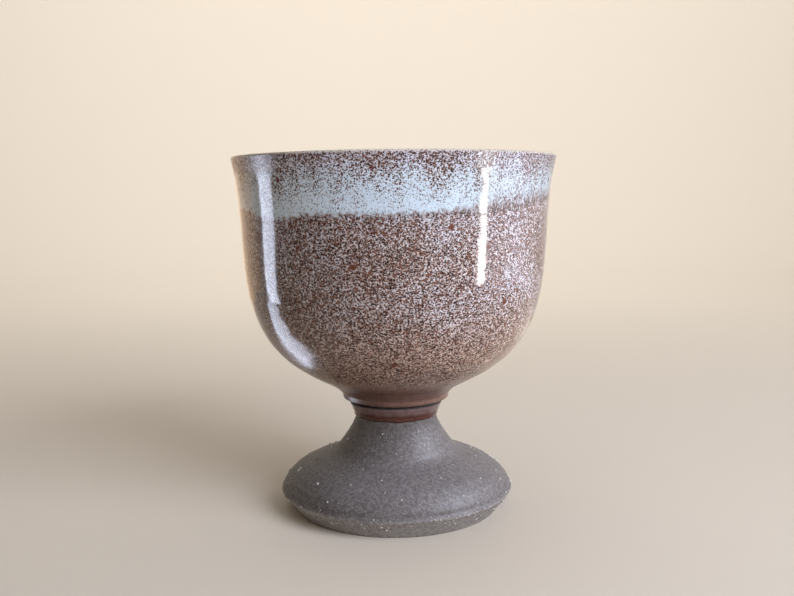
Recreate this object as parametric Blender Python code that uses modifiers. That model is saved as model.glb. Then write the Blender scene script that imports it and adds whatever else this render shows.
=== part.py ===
"""Pottery goblet: a thrown stoneware bowl luted to a thrown hollow foot, with its glaze coats.

Metres, +Z up. The origin is the centre of the ring that the foot stands on. Every piece is a
turned shape: a profile of (radius, height) points that a Screw modifier sweeps round Z.
The bowl's heights count from its own base, the foot's from the table.
"""

import math

import bpy
from mathutils import Vector
from mathutils.geometry import interpolate_bezier

# Bowl, bare clay
RIM_RADIUS = 0.0439
RIM_WALL = 0.0022
RIM_FLARE = 0.0010  # how far the lip turns out past the line of the wall
LIP_ROUNDING = 0.0007
WALL_RISE = 0.0290  # from the belly to the top of the lip
WALL_FLARE = 0.0020  # how far the line of the wall leans out past the belly, at the lip
BELLY_WALL = 0.0034
BELLY_RISE = 0.0343  # from the stub to the belly
UNDERSIDE_RADIUS = 0.0152  # where the round bottom meets the stub
UNDERSIDE_SLOPE = math.radians(29)
STUB_RADIUS = 0.0135
STUB_HEIGHT = 0.0035
FLOOR_THICKNESS = 0.0088

# Foot, bare clay
STEM_TOP_RADIUS = 0.0129
NECK_RADIUS = 0.0112
NECK_DROP = 0.0030  # from the top of the stem to its narrowest
STEM_HEIGHT = 0.0140  # from the shoulder to the top of the stem
STEM_SOLID = 0.0145  # clay left above the hollow
SHOULDER_RADIUS = 0.0172
SHOULDER_SLOPE = math.radians(56.5)
DOME_SLOPE = math.radians(24)
DOME_RISE = 0.0105  # from the lip of the foot to the shoulder
FOOT_RADIUS = 0.0329
FOOT_LIP_HEIGHT = 0.0056
FOOT_LIP_SLOPE = math.radians(72)
RING_RADIUS = 0.0286
RING_WIDTH = 0.0045

# Joint and glaze
SLIP_THICKNESS = 0.0005
SLIP_INSET = 0.0006
GLAZE_THICKNESS = 0.0005
SEAT_GAP = 0.0003  # between a piece and what it lies on
BAND_DEPTH = 0.0128  # white rim dip, below the top of the clay lip, outside
BAND_DEPTH_INSIDE = 0.0118
GLAZE_RUN = 0.0038  # glaze that ran down the stem from its top

# How far each end of a curve holds its direction, as a share of the curve's own reach
BELLY_FULLNESS = 0.73
UNDERSIDE_FULLNESS = 0.48
FLOOR_FULLNESS = 0.70
NECK_FULLNESS = 0.30
SHOULDER_FULLNESS = 0.40
DOME_FULLNESS = 0.45
LIP_FULLNESS = 0.66
HOLLOW_FULLNESS = 0.70

# Facets
STEPS = 48
RIM_SEGMENTS = 4
LIP_SEGMENTS = 3
BOWL_SEGMENTS = 11
FLOOR_SEGMENTS = 9
STEM_SEGMENTS = 6
DOME_SEGMENTS = 7
HOLLOW_SEGMENTS = 7


def point(radius, height):
    return Vector((radius, height))


def heading(angle):
    """Unit vector that falls outwards by this angle below the level."""
    return point(math.cos(angle), -math.sin(angle))


def curve(start, start_pull, end_pull, end, segments):
    """Cubic curve as points; each pull is the way from an end to its handle."""
    return interpolate_bezier(start, start + start_pull, end + end_pull, end, segments + 1)


def arc(centre, radius, start, end, segments):
    turns = [start + (end - start) * step / segments for step in range(segments + 1)]
    return [centre + radius * point(math.cos(turn), math.sin(turn)) for turn in turns]


def at_height(low, high, height):
    """Point of the straight wall from low to high that lies at this height."""
    return low.lerp(high, (height - low.y) / (high.y - low.y))


def rim_wall(low, high, edge):
    """The wall above this height, turned out by the flare up to where the lip's rounding starts."""
    places = []
    for step in range(RIM_SEGMENTS + 1):
        share = step / RIM_SEGMENTS
        height = edge + (high.y - LIP_ROUNDING - edge) * share
        places.append(at_height(low, high, height) + point(RIM_FLARE * share**2, 0.0))
    return places


def shorten(path, at_start, at_end):
    """The path with its first and last stretches cut back by these lengths."""
    cut = list(path)
    cut[0] = path[0] + at_start * (path[1] - path[0]).normalized()
    cut[-1] = path[-1] + at_end * (path[-2] - path[-1]).normalized()
    return cut


def lift(path, distance):
    """The path moved off the clay; it runs up the inside of a form and down the outside."""
    lifted = []
    for index, place in enumerate(path):
        before = path[max(index - 1, 0)]
        after = path[min(index + 1, len(path) - 1)]
        run = (after - before).normalized()
        away = point(-run.y, run.x)
        if place.x == 0.0:
            away = point(0.0, 1.0)
        lifted.append(place + distance * away)
    return lifted


def coat(path):
    """Profile of a glaze coat on this stretch of clay."""
    return lift(path, SEAT_GAP + GLAZE_THICKNESS) + lift(path, SEAT_GAP)[::-1]


def bowl_paths():
    """The bowl's clay surface in three stretches: inside, over the rim, and outside."""
    belly_height = STUB_HEIGHT + BELLY_RISE
    top = belly_height + WALL_RISE
    belly = point(BELLY_RADIUS, belly_height)
    wall_top = point(RIM_RADIUS - RIM_FLARE, top)
    inner_belly = belly - point(BELLY_WALL, 0.0)
    inner_top = wall_top - point(RIM_WALL, 0.0)

    inner_rim = rim_wall(inner_belly, inner_top, top - BAND_DEPTH_INSIDE)
    outer_rim = rim_wall(belly, wall_top, top - BAND_DEPTH)
    rounding = point(LIP_ROUNDING, 0.0)
    lip = arc(inner_rim[-1] + rounding, LIP_ROUNDING, math.pi, math.pi / 2, LIP_SEGMENTS)
    lip += arc(outer_rim[-1] - rounding, LIP_ROUNDING, math.pi / 2, 0.0, LIP_SEGMENTS)
    over_rim = inner_rim[:-1] + lip + outer_rim[-2::-1]

    floor = point(0.0, FLOOR_THICKNESS)
    floor_pull = point(FLOOR_FULLNESS * inner_belly.x, 0.0)
    inner_fall = (inner_belly - inner_top).normalized()
    belly_pull = BELLY_FULLNESS * (belly_height - FLOOR_THICKNESS) * inner_fall
    inside = curve(floor, floor_pull, belly_pull, inner_belly, FLOOR_SEGMENTS) + inner_rim[:1]

    underside = point(UNDERSIDE_RADIUS, STUB_HEIGHT)
    underside_pull = UNDERSIDE_FULLNESS * (BELLY_RADIUS - UNDERSIDE_RADIUS) * heading(-UNDERSIDE_SLOPE)
    outer_fall = (belly - wall_top).normalized()
    belly_pull = BELLY_FULLNESS * BELLY_RISE * outer_fall
    round_bottom = curve(belly, belly_pull, underside_pull, underside, BOWL_SEGMENTS)
    outside = outer_rim[:1] + round_bottom + [point(STUB_RADIUS, 0.0)]

    return inside, over_rim, outside


def stem_path():
    """The stem's clay surface from its top edge to the narrow neck."""
    top = point(STEM_TOP_RADIUS, FOOT_HEIGHT)
    neck = point(NECK_RADIUS, FOOT_HEIGHT - NECK_DROP)
    top_pull = point(-NECK_FULLNESS * (STEM_TOP_RADIUS - NECK_RADIUS), -NECK_FULLNESS * NECK_DROP)
    return curve(top, top_pull, point(0.0, NECK_FULLNESS * NECK_DROP), neck, STEM_SEGMENTS // 2)


def foot_profile():
    """Stem top, neck, flare, domed foot, its tapered edge, the ring it stands on, and the hollow."""
    stem = stem_path()
    neck = stem[-1]
    shoulder = point(SHOULDER_RADIUS, FOOT_LIP_HEIGHT + DOME_RISE)
    flare_drop = neck.y - shoulder.y
    flare = curve(
        neck,
        point(0.0, -NECK_FULLNESS * flare_drop),
        -SHOULDER_FULLNESS * flare_drop * heading(SHOULDER_SLOPE),
        shoulder,
        STEM_SEGMENTS,
    )
    lip = point(FOOT_RADIUS, FOOT_LIP_HEIGHT)
    dome = curve(
        shoulder,
        DOME_FULLNESS * (FOOT_RADIUS - SHOULDER_RADIUS) * heading(DOME_SLOPE),
        -LIP_FULLNESS * DOME_RISE * heading(FOOT_LIP_SLOPE),
        lip,
        DOME_SEGMENTS,
    )
    ring = point(RING_RADIUS, 0.0)
    ring_inside = point(RING_RADIUS - RING_WIDTH, 0.0)
    crown = point(0.0, FOOT_HEIGHT - STEM_SOLID)
    hollow = curve(
        ring_inside,
        point(0.0, HOLLOW_FULLNESS * crown.y),
        point(HOLLOW_FULLNESS * ring_inside.x / 2, 0.0),
        crown,
        HOLLOW_SEGMENTS,
    )
    return [point(0.0, FOOT_HEIGHT)] + stem + flare[1:] + dome[1:] + [ring] + hollow


def fired(name, colour, roughness):
    """Material of one fired surface, from its linear colour."""
    material = bpy.data.materials.new(name)
    material.use_nodes = True
    shader = material.node_tree.nodes["Principled BSDF"]
    shader.inputs["Base Color"].default_value = (*colour, 1.0)
    shader.inputs["Roughness"].default_value = roughness
    shader.inputs["Metallic"].default_value = 0.0
    return material


def turned(name, profile, material, parent, height=0.0, ring=False):
    """Sweep a profile round Z; a ring's profile is a closed loop off the axis."""
    mesh = bpy.data.meshes.new(name)
    places = [(place.x, 0.0, place.y) for place in profile]
    edges = [(index, index + 1) for index in range(len(places) - 1)]
    if ring:
        edges.append((len(places) - 1, 0))
    mesh.from_pydata(places, edges, [])
    mesh.materials.append(material)
    piece = bpy.data.objects.new(name, mesh)
    piece.parent = parent
    piece.location.z = height
    goblet.objects.link(piece)
    screw = piece.modifiers.new("Turning", "SCREW")
    screw.axis = "Z"
    screw.steps = STEPS
    screw.render_steps = STEPS
    screw.use_merge_vertices = True
    screw.merge_threshold = 1e-6
    screw.use_smooth_shade = True
    return piece


# Sizes that follow from those above
BELLY_RADIUS = RIM_RADIUS - RIM_FLARE - WALL_FLARE
FOOT_HEIGHT = FOOT_LIP_HEIGHT + DOME_RISE + STEM_HEIGHT
SLIP_HEIGHT = FOOT_HEIGHT + SEAT_GAP
BOWL_HEIGHT = SLIP_HEIGHT + SLIP_THICKNESS + SEAT_GAP

for leftover in list(bpy.data.objects):
    bpy.data.objects.remove(leftover)
goblet = bpy.data.collections.new("pottery_goblet")
bpy.context.scene.collection.children.link(goblet)
stand = bpy.data.objects.new("goblet_stand", None)
goblet.objects.link(stand)

stoneware = fired("bare stoneware", (0.135, 0.115, 0.098), 0.85)
bowl_clay = fired("bowl stoneware", (0.150, 0.120, 0.098), 0.80)
slip = fired("joining slip", (0.060, 0.045, 0.036), 0.90)
speckled_glaze = fired("speckled glaze", (0.270, 0.190, 0.135), 0.15)
stem_glaze_finish = fired("rust brown glaze", (0.105, 0.050, 0.034), 0.20)
white_glaze = fired("white glaze", (0.660, 0.610, 0.520), 0.12)
liner_finish = fired("liner glaze", (0.300, 0.215, 0.150), 0.15)

foot = turned("pedestal_foot", foot_profile(), stoneware, stand)
slip_radius = STEM_TOP_RADIUS - SLIP_INSET
slip_profile = [
    point(0.0, SLIP_THICKNESS),
    point(slip_radius, SLIP_THICKNESS),
    point(slip_radius, 0.0),
    point(0.0, 0.0),
]
turned("joining_slip", slip_profile, slip, stand, SLIP_HEIGHT)

inside, over_rim, outside = bowl_paths()
bowl_profile = inside + over_rim[1:] + outside[1:] + [point(0.0, 0.0)]
bowl = turned("bowl", bowl_profile, bowl_clay, stand, BOWL_HEIGHT)
turned("liner_glaze", coat(shorten(inside, 0.0, SEAT_GAP / 2)), liner_finish, bowl)
turned("rim_glaze", coat(shorten(over_rim, SEAT_GAP / 2, SEAT_GAP / 2)), white_glaze, bowl, ring=True)
turned("outer_glaze", coat(shorten(outside, SEAT_GAP / 2, 0.0)), speckled_glaze, bowl, ring=True)

glazed_neck = stem_path() + [point(NECK_RADIUS, FOOT_HEIGHT - GLAZE_RUN)]
turned("stem_glaze", coat(glazed_neck), stem_glaze_finish, foot, ring=True)
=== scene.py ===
# Stoneware goblet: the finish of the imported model, with its floor, lights and camera.
import math

import bmesh
import bpy
from mathutils import Matrix, Quaternion, Vector
from mathutils.geometry import interpolate_bezier


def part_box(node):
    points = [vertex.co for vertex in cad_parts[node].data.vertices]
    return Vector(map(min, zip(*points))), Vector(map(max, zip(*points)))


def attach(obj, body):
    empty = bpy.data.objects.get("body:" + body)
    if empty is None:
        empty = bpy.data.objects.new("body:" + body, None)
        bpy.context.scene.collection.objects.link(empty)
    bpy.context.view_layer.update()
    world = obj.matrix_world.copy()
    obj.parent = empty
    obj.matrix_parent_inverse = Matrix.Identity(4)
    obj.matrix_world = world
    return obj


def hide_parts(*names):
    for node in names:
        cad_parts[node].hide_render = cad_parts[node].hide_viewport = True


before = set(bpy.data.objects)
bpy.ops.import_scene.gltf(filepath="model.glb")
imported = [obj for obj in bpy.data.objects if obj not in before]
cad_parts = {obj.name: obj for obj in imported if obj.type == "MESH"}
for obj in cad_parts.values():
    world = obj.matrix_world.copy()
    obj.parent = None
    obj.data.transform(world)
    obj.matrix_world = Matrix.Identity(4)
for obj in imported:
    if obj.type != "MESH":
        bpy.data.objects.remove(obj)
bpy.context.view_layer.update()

mm = 0.001
tiny = 1e-6
print("frame loaded:", ", ".join(sorted(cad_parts)))


def paint(code):
    # sRGB hex to the linear colour that a shader socket holds
    shades = [int(code[place:place + 2], 16) / 255 for place in (1, 3, 5)]
    linear = [shade / 12.92 if shade <= 0.04045 else ((shade + 0.055) / 1.055) ** 2.4 for shade in shades]
    return (*linear, 1.0)


nodeGrid = {"across": 190, "down": 260, "perLine": 12}
smooth = {"interpolation_type": "SMOOTHSTEP"}
inColour = {"data_type": "RGBA"}


def plug(tree, node, links):
    # links go to sockets by name or number: another node's socket, or a plain value
    for name, value in links.items():
        if isinstance(value, bpy.types.NodeSocket):
            tree.links.new(value, node.inputs[name])
        else:
            node.inputs[name].default_value = value


def addNode(tree, kind, links=None, **settings):
    # a new node with its settings and links, which gives back its outputs; a short kind is a shader node
    node = tree.nodes.new(kind if "Node" in kind else "ShaderNode" + kind)
    line, place = divmod(len(tree.nodes), nodeGrid["perLine"])
    node.location = (nodeGrid["across"] * place, -nodeGrid["down"] * line)
    for name, value in settings.items():
        setattr(node, name, value)
    plug(tree, node, links or {})
    return node.outputs


def startTree(name, kind, inputs, outputs):
    # a tree with named sockets and nothing else in it, and what its input node gives
    tree = bpy.data.node_groups.new(name, kind)
    for way, sockets in (("INPUT", inputs), ("OUTPUT", outputs)):
        for socket, sort in sockets:
            tree.interface.new_socket(socket, in_out=way, socket_type="NodeSocket" + sort)
    return tree, addNode(tree, "NodeGroupInput")


# Clay surface of the goblet in millimetres, as in the part's source but finer

pathSteps = {"bend": 161, "flare": 40, "lipCorner": 12}


def point(radius, height):
    return Vector((radius, height))


def heading(degrees):
    return point(math.cos(math.radians(degrees)), -math.sin(math.radians(degrees)))


def bend(start, startPull, endPull, end):
    return interpolate_bezier(start, start + startPull, end + endPull, end, pathSteps["bend"])


def evenSteps(path, gap):
    # the same path as evenly spaced points, about this far apart
    path = [path[0]] + [place for last, place in zip(path, path[1:]) if (place - last).length > tiny]
    reaches = [0.0]
    for start, end in zip(path, path[1:]):
        reaches.append(reaches[-1] + (end - start).length)
    count = max(round(reaches[-1] / gap), 2)
    places = []
    leg = 0
    for step in range(count + 1):
        reach = reaches[-1] * step / count
        while leg < len(path) - 2 and reaches[leg + 1] < reach:
            leg += 1
        share = (reach - reaches[leg]) / (reaches[leg + 1] - reaches[leg])
        places.append(path[leg].lerp(path[leg + 1], share))
    return places


def soften(path, passes):
    # rounds the corners of an evenly spaced path
    for turn in range(passes):
        middle = [(last + 2 * place + after) / 4 for last, place, after in zip(path, path[1:], path[2:])]
        path = [path[0]] + middle + [path[-1]]
    return path


def ease(value, low, high):
    # 0 below low, 1 above high, smooth between
    share = min(max((value - low) / (high - low), 0.0), 1.0)
    return share * share * (3 - 2 * share)


def hump(reach, middle, width):
    # 1 at the middle, falling off smoothly on both sides
    return math.exp(-((reach - middle) / width) ** 2)


def roundEdge(reach, radius):
    # 0 at an edge, rising to 1 as a quarter circle does
    return math.sqrt(1 - (1 - min(reach / radius, 1.0)) ** 2)


def risen(least, share):
    # this least at share 0, and 1 at share 1
    return least + (1 - least) * share


cupForm = {
    "rimRadius": 43.9, "rimWall": 2.2, "rimFlare": 1.0, "lipRounding": 0.7, "flareRise": 12.8,
    "wallRise": 29.0, "wallFlare": 2.0,
    "bellyWall": 3.4, "bellyRise": 34.3, "bellyFullness": 0.73,
    "undersideRadius": 15.2, "undersideSlope": 29, "undersideFullness": 0.48,
    "stubRadius": 13.5, "stubHeight": 3.5,
    "floorThickness": 8.8, "floorFullness": 0.70,
}
footForm = {
    "stemTopRadius": 12.9, "neckRadius": 11.2, "neckDrop": 3.0, "neckFullness": 0.30,
    "stemSolid": 14.5, "shoulderRadius": 17.2, "shoulderHeight": 16.1,
    "shoulderSlope": 56.5, "shoulderFullness": 0.40,
    "domeSlope": 24, "domeFullness": 0.45, "lipSlope": 72, "lipFullness": 0.66,
    "footRadius": 32.9, "lipHeight": 5.6, "ringRadius": 28.6, "ringWidth": 4.5, "hollowFullness": 0.70,
}
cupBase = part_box("bowl")[0].z / mm
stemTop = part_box("pedestal_foot")[1].z / mm


def flaredWall(form, low, high):
    # the top of a wall, turned out by the flare up to where the lip's rounding starts
    start = high.y - form["flareRise"]
    places = []
    for step in range(pathSteps["flare"] + 1):
        share = step / pathSteps["flare"]
        height = start + (form["flareRise"] - form["lipRounding"]) * share
        onLine = low.lerp(high, (height - low.y) / (high.y - low.y))
        places.append(onLine + point(form["rimFlare"] * share ** 2, 0.0))
    return places


def cupPaths(form):
    # inside from the floor up to the lip, over the lip, and outside from the lip down to the stub
    bellyHeight = cupBase + form["stubHeight"] + form["bellyRise"]
    wallTop = point(form["rimRadius"] - form["rimFlare"], bellyHeight + form["wallRise"])
    belly = point(wallTop.x - form["wallFlare"], bellyHeight)
    innerTop = wallTop - point(form["rimWall"], 0.0)
    innerBelly = belly - point(form["bellyWall"], 0.0)
    innerRim = flaredWall(form, innerBelly, innerTop)
    outerRim = flaredWall(form, belly, wallTop)
    corner = pathSteps["lipCorner"]
    quarter = [math.pi / 2 * step / corner for step in range(corner + 1)]
    rounding = form["lipRounding"]
    innerCentre = innerRim[-1] + point(rounding, 0.0)
    outerCentre = outerRim[-1] - point(rounding, 0.0)
    overLip = [innerCentre + rounding * point(-math.cos(turn), math.sin(turn)) for turn in quarter]
    overLip += [outerCentre + rounding * point(math.sin(turn), math.cos(turn)) for turn in quarter]
    floor = point(0.0, cupBase + form["floorThickness"])
    innerPull = form["bellyFullness"] * (bellyHeight - floor.y) * (innerBelly - innerTop).normalized()
    inside = bend(floor, point(form["floorFullness"] * innerBelly.x, 0.0), innerPull, innerBelly)
    underside = point(form["undersideRadius"], cupBase + form["stubHeight"])
    outerPull = form["bellyFullness"] * form["bellyRise"] * (belly - wallTop).normalized()
    undersidePull = form["undersideFullness"] * (belly.x - underside.x) * heading(-form["undersideSlope"])
    outside = bend(belly, outerPull, undersidePull, underside) + [point(form["stubRadius"], cupBase)]
    return inside + innerRim, overLip, outerRim[::-1] + outside


def footPaths(form):
    # the stem's side down to the neck, the flare and dome to the lip, and the hollow underneath
    top = point(form["stemTopRadius"], stemTop)
    neck = point(form["neckRadius"], stemTop - form["neckDrop"])
    shoulder = point(form["shoulderRadius"], form["shoulderHeight"])
    lip = point(form["footRadius"], form["lipHeight"])
    topPull = form["neckFullness"] * point(neck.x - top.x, -form["neckDrop"])
    stem = bend(top, topPull, point(0.0, form["neckFullness"] * form["neckDrop"]), neck)
    drop = neck.y - shoulder.y
    shoulderPull = -form["shoulderFullness"] * drop * heading(form["shoulderSlope"])
    flare = bend(neck, point(0.0, -form["neckFullness"] * drop), shoulderPull, shoulder)
    domePull = form["domeFullness"] * (lip.x - shoulder.x) * heading(form["domeSlope"])
    lipPull = -form["lipFullness"] * (shoulder.y - lip.y) * heading(form["lipSlope"])
    dome = bend(shoulder, domePull, lipPull, lip)
    ring = point(form["ringRadius"], 0.0)
    ringInside = point(form["ringRadius"] - form["ringWidth"], 0.0)
    crown = point(0.0, stemTop - form["stemSolid"])
    crownPull = point(form["hollowFullness"] * ringInside.x / 2, 0.0)
    hollow = bend(ringInside, point(0.0, form["hollowFullness"] * crown.y), crownPull, crown)
    return stem, flare[1:] + dome[1:], [ring, ringInside] + hollow[1:]


cupInside, cupLip, cupOutside = cupPaths(cupForm)
stemSide, footOutside, footUnderside = footPaths(footForm)
lipTop = max(place.y for place in cupLip)
clipTop = 2 * lipTop  # past any height of the cup


def clipped(path, low, high):
    # the stretch of a path between two heights
    kept = []
    for start, end in zip(path, path[1:]):
        span = end.y - start.y
        shares = [0.0, 1.0]
        if abs(span) > tiny ** 2:
            ends = sorted(((low - start.y) / span, (high - start.y) / span))
            shares = [max(0.0, ends[0]), min(1.0, ends[1])]
        middle = start.lerp(end, sum(shares) / 2).y
        if shares[0] <= shares[1] and low - tiny <= middle <= high + tiny:
            kept += [start.lerp(end, share) for share in shares]
    return kept


def layer(path, depth, mark=0.0, edge=0.0, above=0.0):
    # rows of a surface this deep over a path of clay; each setting is a number or a rule
    # of the row's reach from the path's start, its reach from the end, and its place
    total = sum((after - place).length for place, after in zip(path, path[1:]))
    reach = 0.0
    rows = []
    for index, place in enumerate(path):
        last = path[max(index - 1, 0)]
        after = path[min(index + 1, len(path) - 1)]
        reach += (place - last).length
        run = (after - last).normalized()
        away = point(0.0, 1.0 if run.x > 0 else -1.0) if place.x < tiny else point(-run.y, run.x)
        values = [rule(reach, total - reach, place) if callable(rule) else rule
                  for rule in (depth, mark, edge, above)]
        rise = run if run.y > 0 else -run
        slide = values[2] if isinstance(values[2], Vector) else values[2] * rise
        rows.append((place + values[0] * away, values[1] * away, slide, values[3]))
    return rows


# Wheel tree: turns the rows of a profile round the axis, with throwing rings, a slight
# wobble of the hand, and a dip line that tilts, swings, sags and ripples round the pot

wheelSizes = (
    "Ring Depth", "Ring Pitch", "Wobble", "Edge Tilt", "Tilt Turn", "Edge Swing", "Edge Sag", "Sag Turn",
    "Edge Ripple", "Ripple Length", "Seed",
)
wheelHand = {"wobbleLength": 25.0, "ringWaver": 1.2, "sagNarrowness": 36.0}  # length in millimetres


def buildWheelTree():
    inputs = [("Profile", "Geometry"), ("Turn Steps", "Int")]
    inputs += [(size, "Float") for size in wheelSizes] + [("Finish", "Material")]
    tree, given = startTree("wheelThrow", "GeometryNodeTree", inputs, [("Pot", "Geometry")])
    profileSize = addNode(tree, "GeometryNodeAttributeDomainSize", {"Geometry": given["Profile"]})
    rows = profileSize["Point Count"]
    columns = addNode(tree, "Math", {0: given["Turn Steps"], 1: 1.0}, operation="ADD")[0]
    grid = addNode(tree, "GeometryNodeMeshGrid", {"Vertices X": columns, "Vertices Y": rows})["Mesh"]
    index = addNode(tree, "GeometryNodeInputIndex")[0]
    row = addNode(tree, "Math", {0: index, 1: rows}, operation="MODULO")[0]
    column = addNode(tree, "Math", {0: index, 1: rows}, operation="DIVIDE")[0]
    column = addNode(tree, "Math", {0: column}, operation="FLOOR")[0]

    # the profile's place and its three attributes, read row by row
    fields = {"place": addNode(tree, "GeometryNodeInputPosition")[0]}
    read = {}
    for name in ("place", "outward", "slide", "aboveEdge"):
        kind = "FLOAT" if name == "aboveEdge" else "FLOAT_VECTOR"
        if name not in fields:
            links = {"Name": name}
            fields[name] = addNode(tree, "GeometryNodeInputNamedAttribute", links, data_type=kind)[0]
        links = {"Geometry": given["Profile"], "Value": fields[name], "Index": row}
        read[name] = addNode(tree, "GeometryNodeSampleIndex", links, data_type=kind)[0]
    place = addNode(tree, "SeparateXYZ", {0: read["place"]})
    outward = addNode(tree, "SeparateXYZ", {0: read["outward"]})
    slide = addNode(tree, "SeparateXYZ", {0: read["slide"]})

    share = addNode(tree, "Math", {0: column, 1: given["Turn Steps"]}, operation="DIVIDE")[0]
    turn = addNode(tree, "Math", {0: share, 1: math.tau}, operation="MULTIPLY")[0]
    cosine = addNode(tree, "Math", {0: turn}, operation="COSINE")[0]
    sine = addNode(tree, "Math", {0: turn}, operation="SINE")[0]
    around = addNode(tree, "CombineXYZ", {0: cosine, 1: sine})[0]
    flat = addNode(tree, "VectorMath", {0: around, 3: place[0]}, operation="SCALE")[0]
    height = addNode(tree, "CombineXYZ", {2: place[2]})[0]
    turned = addNode(tree, "VectorMath", {0: flat, 1: height}, operation="ADD")[0]

    # wobble of the hand, in waves as long as a finger pad
    handScale = 1 / (wheelHand["wobbleLength"] * mm)
    links = {"Vector": turned, "W": given["Seed"], "Scale": handScale, "Detail": 1.0}
    hand = addNode(tree, "TexNoise", links, noise_dimensions="4D")["Fac"]
    hand = addNode(tree, "Math", {0: hand, 1: 0.5}, operation="SUBTRACT")[0]
    wobble = addNode(tree, "Math", {0: hand, 1: given["Wobble"]}, operation="MULTIPLY")[0]

    # throwing rings climb one pitch in a turn
    climb = addNode(tree, "Math", {0: place[2], 1: given["Ring Pitch"]}, operation="DIVIDE")[0]
    climb = addNode(tree, "Math", {0: climb, 1: share}, operation="SUBTRACT")[0]
    links = {0: hand, 1: wheelHand["ringWaver"], 2: climb}
    climb = addNode(tree, "Math", links, operation="MULTIPLY_ADD")[0]
    climb = addNode(tree, "Math", {0: climb, 1: math.tau}, operation="MULTIPLY")[0]
    rings = addNode(tree, "Math", {0: climb}, operation="SINE")[0]
    links = {0: rings, 1: given["Ring Depth"], 2: wobble}
    swell = addNode(tree, "Math", links, operation="MULTIPLY_ADD")[0]

    # the dip line: one tilt round the pot, a swing up on two sides, one sag and small ripples
    lean = addNode(tree, "Math", {0: turn, 1: given["Tilt Turn"]}, operation="SUBTRACT")[0]
    lean = addNode(tree, "Math", {0: lean}, operation="COSINE")[0]
    lean = addNode(tree, "Math", {0: lean, 1: given["Edge Tilt"]}, operation="MULTIPLY")[0]
    swing = addNode(tree, "Math", {0: turn, 1: 2.0}, operation="MULTIPLY")[0]
    swing = addNode(tree, "Math", {0: swing}, operation="COSINE")[0]
    links = {0: swing, 1: given["Edge Swing"], 2: lean}
    lean = addNode(tree, "Math", links, operation="MULTIPLY_ADD")[0]
    droop = addNode(tree, "Math", {0: turn, 1: given["Sag Turn"]}, operation="SUBTRACT")[0]
    droop = addNode(tree, "Math", {0: droop}, operation="COSINE")[0]
    droop = addNode(tree, "Math", {0: droop, 1: 0.0}, operation="MAXIMUM")[0]
    links = {0: droop, 1: wheelHand["sagNarrowness"]}
    droop = addNode(tree, "Math", links, operation="POWER")[0]
    droop = addNode(tree, "Math", {0: droop, 1: given["Edge Sag"]}, operation="MULTIPLY")[0]
    fine = addNode(tree, "Math", {0: 1.0, 1: given["Ripple Length"]}, operation="DIVIDE")[0]
    links = {"Vector": flat, "W": given["Seed"], "Scale": fine, "Detail": 2.0}
    ripple = addNode(tree, "TexNoise", links, noise_dimensions="4D")["Fac"]
    ripple = addNode(tree, "Math", {0: ripple, 1: 0.5}, operation="SUBTRACT")[0]
    ripple = addNode(tree, "Math", {0: ripple, 1: given["Edge Ripple"]}, operation="MULTIPLY")[0]
    line = addNode(tree, "Math", {0: lean, 1: droop}, operation="SUBTRACT")[0]
    line = addNode(tree, "Math", {0: line, 1: ripple}, operation="ADD")[0]

    moved = {}
    for axis in (0, 2):
        links = {0: outward[axis], 1: swell, 2: place[axis]}
        swollen = addNode(tree, "Math", links, operation="MULTIPLY_ADD")[0]
        links = {0: slide[axis], 1: line, 2: swollen}
        moved[axis] = addNode(tree, "Math", links, operation="MULTIPLY_ADD")[0]
    side = addNode(tree, "VectorMath", {0: around, 3: moved[0]}, operation="SCALE")[0]
    rise = addNode(tree, "CombineXYZ", {2: moved[2]})[0]
    final = addNode(tree, "VectorMath", {0: side, 1: rise}, operation="ADD")[0]

    pot = addNode(tree, "GeometryNodeSetPosition", {"Geometry": grid, "Position": final})[0]
    links = {"Geometry": pot, "Name": "aboveEdge", "Value": read["aboveEdge"]}
    pot = addNode(tree, "GeometryNodeStoreNamedAttribute", links, data_type="FLOAT")[0]
    pot = addNode(tree, "GeometryNodeMergeByDistance", {"Geometry": pot, "Distance": tiny})[0]
    pot = addNode(tree, "GeometryNodeSetShadeSmooth", {"Geometry": pot})[0]
    pot = addNode(tree, "GeometryNodeRealizeInstances", {"Geometry": pot})[0]
    pot = addNode(tree, "GeometryNodeSetMaterial", {"Geometry": pot, "Material": given["Finish"]})[0]
    addNode(tree, "NodeGroupOutput", {0: pot})
    return tree


def plainMesh(holder, name, tree, values):
    # runs a tree on the holder and leaves a new piece with the result as its own plain mesh
    modifier = holder.modifiers.new(tree.name, "NODES")
    modifier.node_group = tree
    for item in tree.interface.items_tree:
        if item.in_out == "INPUT" and item.name in values:
            modifier[item.identifier] = values[item.name]
    graph = bpy.context.evaluated_depsgraph_get()
    mesh = bpy.data.meshes.new_from_object(holder.evaluated_get(graph), depsgraph=graph)
    mesh.name = name
    holder.modifiers.remove(modifier)
    shell = bmesh.new()
    shell.from_mesh(mesh)
    bmesh.ops.recalc_face_normals(shell, faces=shell.faces)
    if shell.calc_volume(signed=True) < 0:
        bmesh.ops.reverse_faces(shell, faces=shell.faces)
    shell.to_mesh(mesh)
    shell.free()
    piece = bpy.data.objects.new(name, mesh)
    bpy.context.scene.collection.objects.link(piece)
    return piece


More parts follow.
